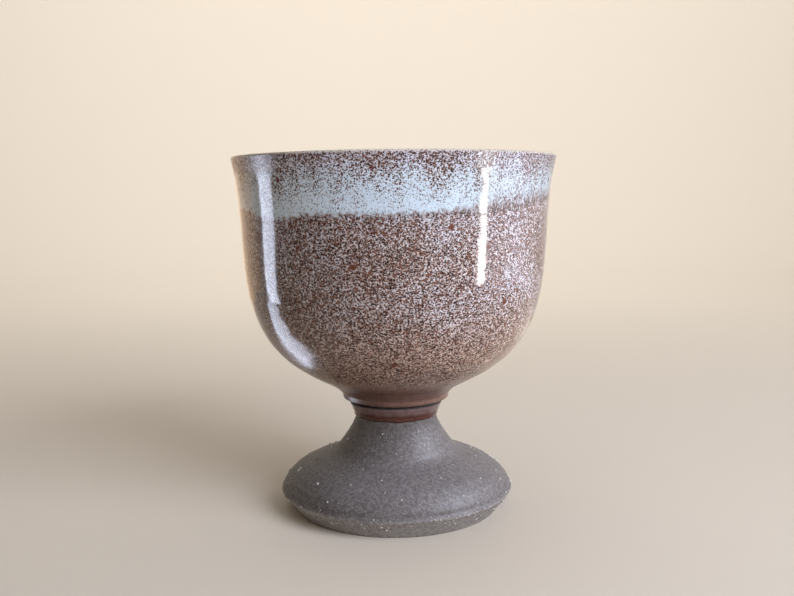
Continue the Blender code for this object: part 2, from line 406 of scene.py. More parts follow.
def throwPiece(name, rows, sizes, finish, replaced, ring=False):
    # one turned piece: its profile goes through the wheel tree and rides on the goblet
    if ring:
        rows = rows + rows[:1]
    profile = bpy.data.meshes.new(name + "Profile")
    places = [(row[0].x * mm, 0.0, row[0].y * mm) for row in rows]
    profile.from_pydata(places, [(step, step + 1) for step in range(len(rows) - 1)], [])
    for attribute, column in (("outward", 1), ("slide", 2)):
        field = profile.attributes.new(attribute, "FLOAT_VECTOR", "POINT")
        for item, rowValues in zip(field.data, rows):
            item.vector = (rowValues[column].x, 0.0, rowValues[column].y)
    field = profile.attributes.new("aboveEdge", "FLOAT", "POINT")
    for item, rowValues in zip(field.data, rows):
        item.value = rowValues[3]
    holder = bpy.data.objects.new(name + "Profile", profile)
    bpy.context.scene.collection.objects.link(holder)
    piece = plainMesh(holder, name, wheelTree, {**sizes, "Finish": finish})
    bpy.data.objects.remove(holder)
    bpy.data.meshes.remove(profile)
    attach(piece, "root")
    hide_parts(replaced)
    print("thrown:", name, len(piece.data.polygons), "faces")
    return piece


wheelTree = buildWheelTree()
print("wheel tree ready")

# Materials, with the sizes of their patterns in millimetres; gloss, satin, pool, dry and polished are
# how rough the surface is

speckleLook = {
    "coarse": 0.48, "fine": 0.33, "coarseRust": 0.68, "fineRust": 0.75,
    "coreReach": 0.82, "soft": 0.09, "haloReach": 1.08, "halo": 0.20,
    "wash": 1.3, "washLow": 0.42, "washHigh": 0.68, "cloud": 17.0, "cloudPull": 0.40,
    "blot": 4.6, "blotEdge": 0.22, "blotCore": 0.10, "blotChance": 0.80,
}


def buildSpeckleGroup(look):
    # iron specks of a fired glaze: Cover is about the share of the surface that is dark,
    # and Grain above 1 makes them finer
    inputs = [("Cover", "Float"), ("Grain", "Float")]
    outputs = [(mark, "Float") for mark in ("Speck", "Halo", "Rust", "Wash", "Blot", "Cloud")]
    tree, given = startTree("ironSpeckle", "ShaderNodeTree", inputs, outputs)
    spot = addNode(tree, "TexCoord")["Object"]
    links = {"Vector": spot, "Scale": 1 / (look["cloud"] * mm), "Detail": 3.0}
    cloud = addNode(tree, "TexNoise", links)["Fac"]
    links = {"Vector": spot, "Scale": 1 / (look["wash"] * mm), "Detail": 2.0}
    wash = addNode(tree, "TexNoise", links)["Fac"]
    links = {"Value": wash, "From Min": look["washLow"], "From Max": look["washHigh"]}
    wash = addNode(tree, "MapRange", links, **smooth)[0]

    # the mean radius of the dots follows Cover, a little more or less by the cloud
    shift = addNode(tree, "Math", {0: cloud, 1: 0.5}, operation="SUBTRACT")[0]
    links = {0: shift, 1: look["cloudPull"], 2: 1.0}
    mean = addNode(tree, "Math", links, operation="MULTIPLY_ADD")[0]
    mean = addNode(tree, "Math", {0: mean, 1: given["Cover"]}, operation="MULTIPLY")[0]

    # two sizes of dot, one in each cell: a dark or rusty core with a brown halo round it
    dots = {"speck": [], "halo": [], "rust": []}
    rings = (("speck", look["coreReach"], look["soft"]), ("halo", look["haloReach"], look["halo"]))
    for dotSize in ("coarse", "fine"):
        links = {0: given["Grain"], 1: 1 / (look[dotSize] * mm)}
        fineness = addNode(tree, "Math", links, operation="MULTIPLY")[0]
        cells = addNode(tree, "TexVoronoi", {"Vector": spot, "Scale": fineness})
        lot = addNode(tree, "SeparateColor", {0: cells["Color"]})
        size = addNode(tree, "Math", {0: lot[0], 1: 0.5}, operation="ADD")[0]
        radius = addNode(tree, "Math", {0: size, 1: mean}, operation="MULTIPLY")[0]
        for ring, reach, blur in rings:
            links = {0: radius, 1: reach, 2: blur}
            outer = addNode(tree, "Math", links, operation="MULTIPLY_ADD")[0]
            links = {0: radius, 1: reach, 2: -blur}
            inner = addNode(tree, "Math", links, operation="MULTIPLY_ADD")[0]
            links = {"Value": cells["Distance"], "From Min": outer, "From Max": inner}
            dots[ring].append(addNode(tree, "MapRange", links, **smooth)[0])
        links = {0: lot[1], 1: look[dotSize + "Rust"]}
        rusty = addNode(tree, "Math", links, operation="GREATER_THAN")[0]
        links = {0: dots["speck"][-1], 1: rusty}
        dots["rust"].append(addNode(tree, "Math", links, operation="MULTIPLY")[0])
    marks = []
    for coarse, fine in dots.values():
        marks.append(addNode(tree, "Math", {0: coarse, 1: fine}, operation="MAXIMUM")[0])

    # a few larger rust blots: about one cell in five has a round spot
    cells = addNode(tree, "TexVoronoi", {"Vector": spot, "Scale": 1 / (look["blot"] * mm)})
    links = {"Value": cells["Distance"], "From Min": look["blotEdge"], "From Max": look["blotCore"]}
    dot = addNode(tree, "MapRange", links, **smooth)[0]
    chance = addNode(tree, "SeparateColor", {0: cells["Color"]})[0]
    links = {0: chance, 1: look["blotChance"]}
    chance = addNode(tree, "Math", links, operation="GREATER_THAN")[0]
    blot = addNode(tree, "Math", {0: dot, 1: chance}, operation="MULTIPLY")[0]
    addNode(tree, "NodeGroupOutput", dict(enumerate([*marks, wash, blot, cloud])))
    return tree


speckleGroup = buildSpeckleGroup(speckleLook)


def newFinish(name):
    # a new material, its tree and its Principled shader
    material = bpy.data.materials.new(name)
    material.use_nodes = True
    tree = material.node_tree
    tree.nodes.clear()
    surface = addNode(tree, "BsdfPrincipled", {"Metallic": 0.0})[0]
    addNode(tree, "OutputMaterial", {"Surface": surface})
    return material, tree, surface.node


glazeColours = {
    "ground": "#c1c4d0", "groundWarm": "#beb9ba", "wash": "#b1a196",
    "halo": "#8b746a", "speck": "#28110f", "rust": "#643c2b", "blot": "#572a1d",
    "white": "#c3d3e2", "whiteWarm": "#c4d1dc",
    "rimLilac": "#cbd1e6", "rimOchre": "#b9a48c", "lipGrey": "#cac2b8",
    "lowTan": "#b9a292", "lowBrown": "#62473d", "runRust": "#4a2419", "runBrown": "#705b59",
}
glazeBody = {
    "cover": 0.495, "linerCover": 0.44, "washShare": 0.6, "cloudLow": 0.35, "cloudHigh": 0.65, "ior": 1.40,
    "ripple": 5.0, "speckRise": 0.02, "reliefDepth": 0.10, "reliefStrength": 0.5,
}


def glazeShader(tree, shader, ground, speckle, washShare, roughness):
    # ground colour with a brown wash, then halos, specks, rust and blots over it
    wash = addNode(tree, "Math", {0: speckle["Wash"], 1: washShare}, operation="MULTIPLY")[0]
    links = {0: wash, 6: ground, 7: paint(glazeColours["wash"])}
    colour = addNode(tree, "Mix", links, **inColour, blend_type="MULTIPLY")[2]
    for mark in ("Halo", "Speck", "Rust", "Blot"):
        links = {0: speckle[mark], 6: colour, 7: paint(glazeColours[mark.lower()])}
        colour = addNode(tree, "Mix", links, **inColour)[2]
    spot = addNode(tree, "TexCoord")["Object"]
    links = {"Vector": spot, "Scale": 1 / (glazeBody["ripple"] * mm), "Detail": 1.0}
    ripple = addNode(tree, "TexNoise", links)["Fac"]
    links = {0: speckle["Speck"], 1: glazeBody["speckRise"], 2: ripple}
    relief = addNode(tree, "Math", links, operation="MULTIPLY_ADD")[0]
    depth = glazeBody["reliefDepth"] * mm
    links = {"Height": relief, "Strength": glazeBody["reliefStrength"], "Distance": depth}
    bump = addNode(tree, "Bump", links)[0]
    links = {"Base Color": colour, "Roughness": roughness, "Normal": bump, "IOR": glazeBody["ior"]}
    plug(tree, shader, links)


def cloudedTint(tree, speckle, pairs):
    # each pair of colours drifts from one to the other with the same cloud
    links = {"Value": speckle["Cloud"], "From Min": glazeBody["cloudLow"], "From Max": glazeBody["cloudHigh"]}
    share = addNode(tree, "MapRange", links)[0]
    tints = []
    for cool, warm in pairs:
        links = {0: share, 6: paint(glazeColours[cool]), 7: paint(glazeColours[warm])}
        tints.append(addNode(tree, "Mix", links, **inColour)[2])
    return tints


# pairs are heights in millimetres, from where a change begins down to where it is complete
overFoot = {
    "tan": (66.0, 44.0), "brown": (41.5, 35.5), "satin": (58.0, 43.0), "pool": (37.0, 34.5),
    "brownCover": 0.22, "glossFinish": 0.085, "satinFinish": 0.26, "poolFinish": 0.28,
}


def makeSpeckledGlaze(name, cover, reachesFoot):
    # iron-speckled stoneware glaze, dipped and fired: a pale glassy ground salted with brown
    # and rust specks, glossy between them, going brown and satin where it thins over the foot joint
    material, tree, shader = newFinish(name)
    spot = addNode(tree, "TexCoord")["Object"]
    height = addNode(tree, "SeparateXYZ", {0: spot})[2]
    gloss = overFoot["glossFinish"]
    shares = {}
    if reachesFoot:
        # tan under the belly, then a plain brown over the joint, satin there but glassy again
        # where it pooled in the bead
        for change in ("tan", "brown", "satin", "pool"):
            begins, complete = overFoot[change]
            links = {"Value": height, "From Min": begins * mm, "From Max": complete * mm}
            shares[change] = addNode(tree, "MapRange", links, **smooth)[0]
        links = {0: shares.pop("satin"), 2: gloss, 3: overFoot["satinFinish"]}
        satin = addNode(tree, "Mix", links)[0]
        links = {0: shares.pop("pool"), 2: satin, 3: overFoot["poolFinish"]}
        gloss = addNode(tree, "Mix", links)[0]
        links = {0: shares["brown"], 2: cover, 3: overFoot["brownCover"]}
        cover = addNode(tree, "Mix", links)[0]
    speckle = addNode(tree, "Group", {"Cover": cover, "Grain": 1.0}, node_tree=speckleGroup)
    ground, = cloudedTint(tree, speckle, [("ground", "groundWarm")])
    for change, share in shares.items():
        links = {0: share, 6: ground, 7: paint(glazeColours["low" + change.title()])}
        ground = addNode(tree, "Mix", links, **inColour)[2]
    glazeShader(tree, shader, ground, speckle, glazeBody["washShare"], gloss)
    return material


# Low and High are millimetres above the dip line, those of fray and drift with that noise added
whiteLook = {
    "fraySize": 1.2, "fray": 3.6, "frayLow": 1.65, "frayHigh": 2.15, "frayHighSoft": 4.2,
    "crispTo": 14.0, "softFrom": 28.0, "clearLow": 1.2, "clearGain": 2.0, "clearShift": -1.4,
    "driftSize": 4.5, "driftSquash": 0.35, "drift": 18.0,
    "freckleLow": 10.0, "freckleHigh": 19.8, "fewest": 0.20, "most": 0.475, "grain": 0.92,
    "lipLow": 12.0, "lipHigh": 12.6, "lipCover": 0.22, "lilacLow": 6.3, "lilacHigh": 11.8,
    "ochreLow": 14.5, "ochreHigh": 23.0, "ochreMost": 0.26, "washShare": 0.10,
    "satinLow": 6.3, "satinHigh": 9.8, "gloss": 0.08, "satin": 0.28,
}


def makeWhiteGlaze(name, look):
    # white tin-like dip over the speckled coat: clean and glossy above its frayed lower line,
    # freckled with iron towards the lip in streaks, where it runs thin and turns grey
    material, tree, shader = newFinish(name)
    above = addNode(tree, "Attribute", attribute_name="aboveEdge")["Fac"]
    spot = addNode(tree, "TexCoord")["Object"]
    links = {"Vector": spot, "Scale": 1 / (look["fraySize"] * mm), "Detail": 2.0}
    ragged = addNode(tree, "TexNoise", links)["Fac"]
    edge = addNode(tree, "Math", {0: ragged, 1: look["fray"], 2: above}, operation="MULTIPLY_ADD")[0]

    # the line is crisp at the front and on the left, and fades out softly on the right
    across = addNode(tree, "SeparateXYZ", {0: spot})[0]
    links = {
        "Value": across, "From Min": look["crispTo"] * mm, "From Max": look["softFrom"] * mm,
        "To Min": look["frayHigh"], "To Max": look["frayHighSoft"],
    }
    whole = addNode(tree, "MapRange", links, **smooth)[0]
    links = {"Value": edge, "From Min": look["frayLow"], "From Max": whole}
    white = addNode(tree, "MapRange", links, **smooth)[0]
    links = {0: whole, 1: look["clearGain"], 2: look["clearShift"]}
    clear = addNode(tree, "Math", links, operation="MULTIPLY_ADD")[0]
    links = {"Value": edge, "From Min": look["clearLow"], "From Max": clear}
    cleared = addNode(tree, "MapRange", links, **smooth)[0]

    # streaks of freckles hang down from the lip, drawn out about three times as tall as wide
    links = {"Vector": spot, "Scale": (1.0, 1.0, look["driftSquash"])}
    tall = addNode(tree, "Mapping", links)[0]
    links = {"Vector": tall, "Scale": 1 / (look["driftSize"] * mm), "Detail": 3.0}
    drift = addNode(tree, "TexNoise", links)["Fac"]
    upper = addNode(tree, "Math", {0: drift, 1: look["drift"], 2: above}, operation="MULTIPLY_ADD")[0]
    links = {
        "Value": upper, "From Min": look["freckleLow"], "From Max": look["freckleHigh"],
        "To Min": look["fewest"], "To Max": look["most"],
    }
    freckles = addNode(tree, "MapRange", links)[0]
    links = {"Value": above, "From Min": look["lipLow"], "From Max": look["lipHigh"]}
    lipShare = addNode(tree, "MapRange", links, **smooth)[0]
    freckles = addNode(tree, "Mix", {0: lipShare, 2: freckles, 3: look["lipCover"]})[0]
    cover = addNode(tree, "Mix", {0: cleared, 2: glazeBody["cover"], 3: freckles})[0]
    grain = addNode(tree, "Mix", {0: cleared, 2: 1.0, 3: look["grain"]})[0]
    speckle = addNode(tree, "Group", {"Cover": cover, "Grain": grain}, node_tree=speckleGroup)

    # lilac where it thins, ochre down the streaks and grey on the lip itself
    body, pure = cloudedTint(tree, speckle, [("ground", "groundWarm"), ("white", "whiteWarm")])
    links = {"Value": above, "From Min": look["lilacLow"], "From Max": look["lilacHigh"]}
    thinning = addNode(tree, "MapRange", links, **smooth)[0]
    links = {
        "Value": upper, "From Min": look["ochreLow"], "From Max": look["ochreHigh"],
        "To Max": look["ochreMost"],
    }
    ochre = addNode(tree, "MapRange", links, **smooth)[0]
    for share, tint in ((thinning, "rimLilac"), (ochre, "rimOchre"), (lipShare, "lipGrey")):
        links = {0: share, 6: pure, 7: paint(glazeColours[tint])}
        pure = addNode(tree, "Mix", links, **inColour)[2]
    ground = addNode(tree, "Mix", {0: white, 6: body, 7: pure}, **inColour)[2]
    washShare = addNode(tree, "Mix", {0: white, 2: glazeBody["washShare"], 3: look["washShare"]})[0]
    links = {
        "Value": above, "From Min": look["satinLow"], "From Max": look["satinHigh"],
        "To Min": look["gloss"], "To Max": look["satin"],
    }
    satin = addNode(tree, "MapRange", links, **smooth)[0]
    glazeShader(tree, shader, ground, speckle, washShare, satin)
    return material


runLook = {
    "fraySize": 1.2, "fray": 1.6, "rollTop": 2.2, "thinFrom": 4.0,
    "cover": 0.14, "grain": 1.2, "washShare": 0.4, "gloss": 0.10,
}


def makeRunGlaze(name, look):
    # the same speckled glaze where it ran over the joint: thin and brown on the neck, pooled
    # to a thick dark rust roll along its lower edge
    material, tree, shader = newFinish(name)
    above = addNode(tree, "Attribute", attribute_name="aboveEdge")["Fac"]
    spot = addNode(tree, "TexCoord")["Object"]
    links = {"Vector": spot, "Scale": 1 / (look["fraySize"] * mm), "Detail": 2.0}
    ragged = addNode(tree, "TexNoise", links)["Fac"]
    edge = addNode(tree, "Math", {0: ragged, 1: look["fray"], 2: above}, operation="MULTIPLY_ADD")[0]
    links = {"Value": edge, "From Min": look["rollTop"], "From Max": look["thinFrom"]}
    thin = addNode(tree, "MapRange", links, **smooth)[0]
    links = {"Cover": look["cover"], "Grain": look["grain"]}
    speckle = addNode(tree, "Group", links, node_tree=speckleGroup)
    links = {0: thin, 6: paint(glazeColours["runRust"]), 7: paint(glazeColours["runBrown"])}
    ground = addNode(tree, "Mix", links, **inColour)[2]
    glazeShader(tree, shader, ground, speckle, look["washShare"], look["gloss"])
    return material


clayLook = {
    "dark": "#4c4745", "pale": "#666161", "grog": "#8f8c8c", "mottle": 0.9, "grit": 0.34, "gritShare": 0.4,
    "sandLow": 0.50, "sandHigh": 0.92, "glintLow": 0.66, "glintHigh": 0.76, "ior": 1.5,
    "glossLow": 0.35, "glossHigh": 0.70, "dry": 0.62, "polished": 0.46,
    "reliefDepth": 0.10, "reliefStrength": 0.5,
}
# the paler band below the foot's lip: trimmed clay in part, and in part painted light standing in for the
# light that falls on that band
trimmedBandAndPaintedLight = {"colour": "#a6a19e", "low": -0.5, "high": 0.4, "most": 0.75, "sandShare": 0.6}


def makeBareClay(name, look, band=None):
    # stoneware fired without glaze: a sandy grey-brown body, dry to the eye, with paler grit
    # that catches the light, and a paler band where a lip is turned: partly trimmed clay, partly painted
    # light on the band below the lip
    material, tree, shader = newFinish(name)
    spot = addNode(tree, "TexCoord")["Object"]
    links = {"Vector": spot, "Scale": 1 / (look["mottle"] * mm), "Detail": 3.0, "Roughness": 0.6}
    mottle = addNode(tree, "TexNoise", links)["Fac"]
    links = {"Vector": spot, "Scale": 1 / (look["grit"] * mm), "Detail": 1.0}
    grit = addNode(tree, "TexNoise", links)["Fac"]
    links = {0: grit, 1: look["gritShare"], 2: mottle}
    sand = addNode(tree, "Math", links, operation="MULTIPLY_ADD")[0]
    links = {"Value": sand, "From Min": look["sandLow"], "From Max": look["sandHigh"]}
    share = addNode(tree, "MapRange", links, **smooth)[0]
    links = {0: share, 6: paint(look["dark"]), 7: paint(look["pale"])}
    colour = addNode(tree, "Mix", links, **inColour)[2]
    # paler colour on the band below the lip: partly trimmed clay, partly painted light on that band
    if band:
        above = addNode(tree, "Attribute", attribute_name="aboveEdge")["Fac"]
        links = {"Value": above, "From Min": band["low"], "From Max": band["high"], "To Max": band["most"]}
        onBand = addNode(tree, "MapRange", links, **smooth)[0]
        links = {0: share, 1: band["sandShare"], 2: 1 - band["sandShare"]}
        patchy = addNode(tree, "Math", links, operation="MULTIPLY_ADD")[0]
        paleTrimmedAndLitShare = addNode(tree, "Math", {0: onBand, 1: patchy}, operation="MULTIPLY")[0]
        links = {0: paleTrimmedAndLitShare, 6: colour, 7: paint(band["colour"])}
        colour = addNode(tree, "Mix", links, **inColour)[2]
    links = {"Value": grit, "From Min": look["glintLow"], "From Max": look["glintHigh"]}
    glint = addNode(tree, "MapRange", links, **smooth)[0]
    links = {0: glint, 6: colour, 7: paint(look["grog"])}
    colour = addNode(tree, "Mix", links, **inColour)[2]
    links = {
        "Value": grit, "From Min": look["glossLow"], "From Max": look["glossHigh"],
        "To Min": look["dry"], "To Max": look["polished"],
    }
    gloss = addNode(tree, "MapRange", links)[0]
    links = {"Height": sand, "Strength": look["reliefStrength"], "Distance": look["reliefDepth"] * mm}
    bump = addNode(tree, "Bump", links)[0]
    plug(tree, shader, {"Base Color": colour, "Roughness": gloss, "Normal": bump, "IOR": look["ior"]})
    return material


grogLook = {"dark": "#6e6b67", "pale": "#b3b0ac", "patch": 1.6, "low": 0.38, "high": 0.64, "gloss": 0.38}


def makeGrog(name, look):
    # crushed fired clay in the body: single pale grains that stand proud and glint
    material, tree, shader = newFinish(name)
    spot = addNode(tree, "TexCoord")["Object"]
    links = {"Vector": spot, "Scale": 1 / (look["patch"] * mm), "Detail": 0.0}
    shade = addNode(tree, "TexNoise", links)["Fac"]
    links = {"Value": shade, "From Min": look["low"], "From Max": look["high"]}
    share = addNode(tree, "MapRange", links)[0]
    links = {0: share, 6: paint(look["dark"]), 7: paint(look["pale"])}
    colour = addNode(tree, "Mix", links, **inColour)[2]
    plug(tree, shader, {"Base Color": colour, "Roughness": look["gloss"]})
    return material


speckledGlaze = makeSpeckledGlaze("iron-speckled stoneware glaze", glazeBody["cover"], True)
linerGlaze = makeSpeckledGlaze("iron-speckled liner glaze", glazeBody["linerCover"], False)
whiteGlaze = makeWhiteGlaze("white dip glaze with iron freckles", whiteLook)
runGlaze = makeRunGlaze("rust-brown run of the speckled glaze", runLook)
bareClay = makeBareClay("bare fired stoneware", clayLook, trimmedBandAndPaintedLight)
cupLook = {**clayLook, "dark": "#54493f", "pale": "#86786a"}
cupClay = makeBareClay("fired stoneware under glaze", cupLook)
slipLook = {**clayLook, "dark": "#573b2f", "pale": "#684839", "grog": "#765546"}
slipClay = makeBareClay("dark fired slip", slipLook)
grogClay = makeGrog("pale grog in the stoneware", grogLook)
print("materials ready")

# Pieces, with lengths in millimetres; a pair gives where a change begins and where it is complete

coatForm = {"seat": 0.3, "full": 0.8}
hiddenMark = -30.0  # aboveEdge on the top of the stem, where no grain may lie

foot = {
    "gap": 0.3, "hiddenGap": 1.2, "topGap": 2.5, "shoulderRounding": 30, "edgeRounding": 2,
    "crease": 0.14, "creaseAbove": 0.9, "creaseWidth": 0.5, "roll": 0.12, "rollBelow": 0.5, "rollWidth": 0.8,
    "ringsFromTop": (3.0, 6.0), "ringsFromEdge": (1.0, 5.0),
    "wheel": {
        "Turn Steps": 288, "Ring Depth": 0.030 * mm, "Ring Pitch": 1.9 * mm, "Wobble": 0.22 * mm, "Seed": 3.0,
    },
}
footDome = soften(evenSteps(stemSide + footOutside, foot["gap"]), foot["shoulderRounding"])
footEdge = evenSteps([footOutside[-1], footUnderside[0]], foot["gap"])
footSkin = soften(footDome + footEdge[1:], foot["edgeRounding"])
edgeReach = sum((after - place).length for place, after in zip(footEdge, footEdge[1:]))


def footDepth(reach, left, place):
    # a tooled crease just above the lip, and the lip itself rolled out a little below it
    past = edgeReach - left
    roll = foot["roll"] * hump(past, foot["rollBelow"], foot["rollWidth"])
    return roll - foot["crease"] * hump(past, -foot["creaseAbove"], foot["creaseWidth"])


def footMark(reach, left, place):
    return ease(reach, *foot["ringsFromTop"]) * ease(left, *foot["ringsFromEdge"])


def footAbove(reach, left, place):
    # how far past the lip, downwards
    return edgeReach - left


footTop = evenSteps([point(0.0, stemTop), point(footForm["stemTopRadius"], stemTop)], foot["topGap"])
footRows = layer(footTop, 0.0, above=hiddenMark)[:-1]
footRows += layer(footSkin, footDepth, mark=footMark, above=footAbove)
footRows += layer(evenSteps(footUnderside, foot["hiddenGap"]), 0.0, above=edgeReach)[1:]
thrownFoot = throwPiece("thrownFoot", footRows, foot["wheel"], bareClay, "pedestal_foot")

# grains to a square metre; the band runs from just above the lip down over the edge below it
grog = {
    "Density": 30000.0, "Band Density": 130000.0, "Band From": -0.3, "Band To": 4.6,
    "Top Below": hiddenMark + 1.0, "Smallest": 0.10 * mm, "Largest": 0.41 * mm, "Seed": 4,
}


def buildGrogTree():
    # grains half sunk in the outside of the foot, closer together on the trimmed band at its lip
    sizes = ("Density", "Band Density", "Band From", "Band To", "Top Below", "Smallest", "Largest")
    inputs = [("Foot", "Geometry")] + [(size, "Float") for size in sizes]
    inputs += [("Seed", "Int"), ("Finish", "Material")]
    tree, given = startTree("grogScatter", "GeometryNodeTree", inputs, [("Grains", "Geometry")])
    links = {"Name": "aboveEdge"}
    above = addNode(tree, "GeometryNodeInputNamedAttribute", links, data_type="FLOAT")[0]
    onBand = addNode(tree, "Math", {0: above, 1: given["Band From"]}, operation="GREATER_THAN")[0]
    shown = addNode(tree, "Math", {0: above, 1: given["Band To"]}, operation="LESS_THAN")[0]
    outside = addNode(tree, "Math", {0: above, 1: given["Top Below"]}, operation="GREATER_THAN")[0]
    shown = addNode(tree, "Math", {0: shown, 1: outside}, operation="MULTIPLY")[0]
    links = {0: onBand, 1: given["Band Density"], 2: given["Density"]}
    density = addNode(tree, "Math", links, operation="MULTIPLY_ADD")[0]
    density = addNode(tree, "Math", {0: density, 1: shown}, operation="MULTIPLY")[0]
    links = {"Mesh": given["Foot"], "Density": density, "Seed": given["Seed"]}
    spots = addNode(tree, "GeometryNodeDistributePointsOnFaces", links)["Points"]
    grain = addNode(tree, "GeometryNodeMeshIcoSphere", {"Radius": 1.0, "Subdivisions": 1})["Mesh"]
    links = {2: given["Smallest"], 3: given["Largest"], "Seed": given["Seed"]}
    size = addNode(tree, "FunctionNodeRandomValue", links)[1]
    links = {1: (math.tau, math.tau, math.tau), "Seed": given["Seed"]}
    turn = addNode(tree, "FunctionNodeRandomValue", links, data_type="FLOAT_VECTOR")[0]
    links = {"Points": spots, "Instance": grain, "Scale": size, "Rotation": turn}
    grains = addNode(tree, "GeometryNodeInstanceOnPoints", links)[0]
    grains = addNode(tree, "GeometryNodeRealizeInstances", {"Geometry": grains})[0]
    grains = addNode(tree, "GeometryNodeSetMaterial", {"Geometry": grains, "Material": given["Finish"]})[0]
    addNode(tree, "NodeGroupOutput", {0: grains})
    return tree


grogGrains = plainMesh(thrownFoot, "grogGrains", buildGrogTree(), {**grog, "Finish": grogClay})
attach(grogGrains, "root")
print("scattered: grogGrains", len(grogGrains.data.polygons), "faces")

outerCoat = {
    "top": 89.5, "gap": 0.6, "hiddenGap": 2.5, "rounding": 26,
    "underLap": ((0.08, 76.0, 81.0), (0.12, 86.0, 88.5)), "topReach": 0.6, "topLeast": 0.1,
    "bead": 0.36, "beadReach": 0.95, "beadWidth": 0.62, "beadRows": 9, "beadGap": 0.2,
    "crease": 0.12, "creaseReach": 2.3, "toeReach": 0.8, "toeLeast": 0.15,
    "ringsFromTop": (10.0, 16.0), "ringsFromToe": (0.5, 4.0),
    "wheel": {
        "Turn Steps": 320, "Ring Depth": 0.020 * mm, "Ring Pitch": 4.4 * mm, "Wobble": 0.20 * mm, "Seed": 7.0,
    },
}


def outerDepth(reach, left, place):
    # thinner under the white lap, a rolled bead above the joint, and a rounded lower edge
    depth = coatForm["full"]
    for thinning, begins, complete in outerCoat["underLap"]:
        depth -= thinning * ease(place.y, begins, complete)
    depth += outerCoat["bead"] * hump(left, outerCoat["beadReach"], outerCoat["beadWidth"])
    depth -= outerCoat["crease"] * hump(left, outerCoat["creaseReach"], outerCoat["beadWidth"])
    toe = risen(outerCoat["toeLeast"], roundEdge(left, outerCoat["toeReach"]))
    top = risen(outerCoat["topLeast"], ease(reach, 0.0, outerCoat["topReach"]))
    return coatForm["seat"] + (depth - coatForm["seat"]) * toe * top


def outerMark(reach, left, place):
    return ease(reach, *outerCoat["ringsFromTop"]) * ease(left, *outerCoat["ringsFromToe"])


outerClay = clipped(cupOutside, 0.0, outerCoat["top"])
outerPath = soften(evenSteps(outerClay, outerCoat["gap"]), outerCoat["rounding"])
beadPath = evenSteps(outerPath[-outerCoat["beadRows"] - 1:], outerCoat["beadGap"])
outerPath = outerPath[:-outerCoat["beadRows"]] + beadPath[1:]
outerRows = layer(outerPath, outerDepth, mark=outerMark)
outerRows += layer(evenSteps(outerClay, outerCoat["hiddenGap"]), coatForm["seat"])[::-1]
outerWheel = outerCoat["wheel"]
throwPiece("outerGlazeCoat", outerRows, outerWheel, speckledGlaze, "outer_glaze", ring=True)

rimCoat = {
    "edge": 85.9, "edgeInside": 86.2, "lap": 1.2, "gap": 0.25, "hiddenGap": 1.0, "lipRounding": 0.45,
    "depth": 0.74, "lapDepth": 0.80, "feather": 0.765, "featherReach": 2.5, "thinsBelowLip": (-9.0, -4.0),
    "backDepth": 0.60, "backSeats": (0.3, 1.5), "wavesFade": (86.5, 94.0),
    "wheel": {
        "Turn Steps": 320, "Ring Depth": 0.0, "Ring Pitch": 4.4 * mm, "Wobble": 0.0, "Seed": 11.0,
        "Edge Tilt": 1.8 * mm, "Tilt Turn": math.radians(55), "Edge Swing": 0.7 * mm,
        "Edge Sag": 1.5 * mm, "Sag Turn": math.radians(225),
        "Edge Ripple": 1.6 * mm, "Ripple Length": 7.0 * mm,
    },
}
# the cup with the dip's depth added all round
dippedForm = {**cupForm, "lipRounding": rimCoat["lipRounding"]}
for size, times in (("rimRadius", 1), ("rimWall", 2), ("bellyWall", 2), ("wallRise", 1), ("flareRise", 1)):
    dippedForm[size] += times * rimCoat["depth"]
insideReach = cupForm["rimRadius"] - cupForm["rimWall"]


def overRim(paths):
    # the stretch of the wall that the dip covers, from its edge inside to its edge outside
    inside, lip, outside = paths
    dipped = clipped(inside, rimCoat["edgeInside"] - rimCoat["lap"], clipTop) + lip[1:]
    return dipped + clipped(outside, rimCoat["edge"] - rimCoat["lap"], clipTop)[1:]


def rimEdge(reach, left, place):
    # the dip line's waves follow the wall below the flare and die out halfway up the band
    lean = cupForm["wallFlare"] / cupForm["wallRise"]
    if place.x < insideReach:
        lean += (cupForm["bellyWall"] - cupForm["rimWall"]) / cupForm["wallRise"]
    return (1.0 - ease(place.y, *rimCoat["wavesFade"])) * point(lean, 1.0)


def rimAbove(reach, left, place):
    return place.y - (rimCoat["edge"] if place.x > insideReach else rimCoat["edgeInside"])


def rimDepth(reach, left, place):
    # the lap lies over the coat below it, feathers out downwards and is thinnest over the lip
    lapped = ease(min(reach, left), 0.0, rimCoat["featherReach"])
    depth = rimCoat["feather"] + (rimCoat["lapDepth"] - rimCoat["feather"]) * lapped
    return (depth - rimCoat["depth"]) * (1.0 - ease(place.y - lipTop, *rimCoat["thinsBelowLip"]))


def rimBack(reach, left, place):
    # clear of the coat under the lap, and down on the clay above that coat's end
    seated = ease(place.y - outerCoat["top"], *rimCoat["backSeats"])
    return rimCoat["backDepth"] - (rimCoat["backDepth"] - coatForm["seat"]) * seated


dippedPath = evenSteps(overRim(cupPaths(dippedForm)), rimCoat["gap"])
rimRows = layer(dippedPath, rimDepth, edge=rimEdge, above=rimAbove)
rimBackPath = evenSteps(overRim((cupInside, cupLip, cupOutside)), rimCoat["hiddenGap"])
rimRows += layer(rimBackPath, rimBack, edge=rimEdge, above=rimAbove)[::-1]
throwPiece("rimGlazeCoat", rimRows, rimCoat["wheel"], whiteGlaze, "rim_glaze", ring=True)

linerCoat = {
    "gap": 0.8, "hiddenGap": 2.5, "underLap": 0.2, "lapFrom": (86.5, 88.5), "topReach": 0.6, "topLeast": 0.1,
    "ringsFromFloor": (1.0, 12.0), "ringsFromTop": (4.0, 9.0),
    "wheel": {
        "Turn Steps": 256, "Ring Depth": 0.06 * mm, "Ring Pitch": 5.0 * mm, "Wobble": 0.12 * mm, "Seed": 5.0,
    },
}
linerClay = clipped(cupInside, 0.0, outerCoat["top"])


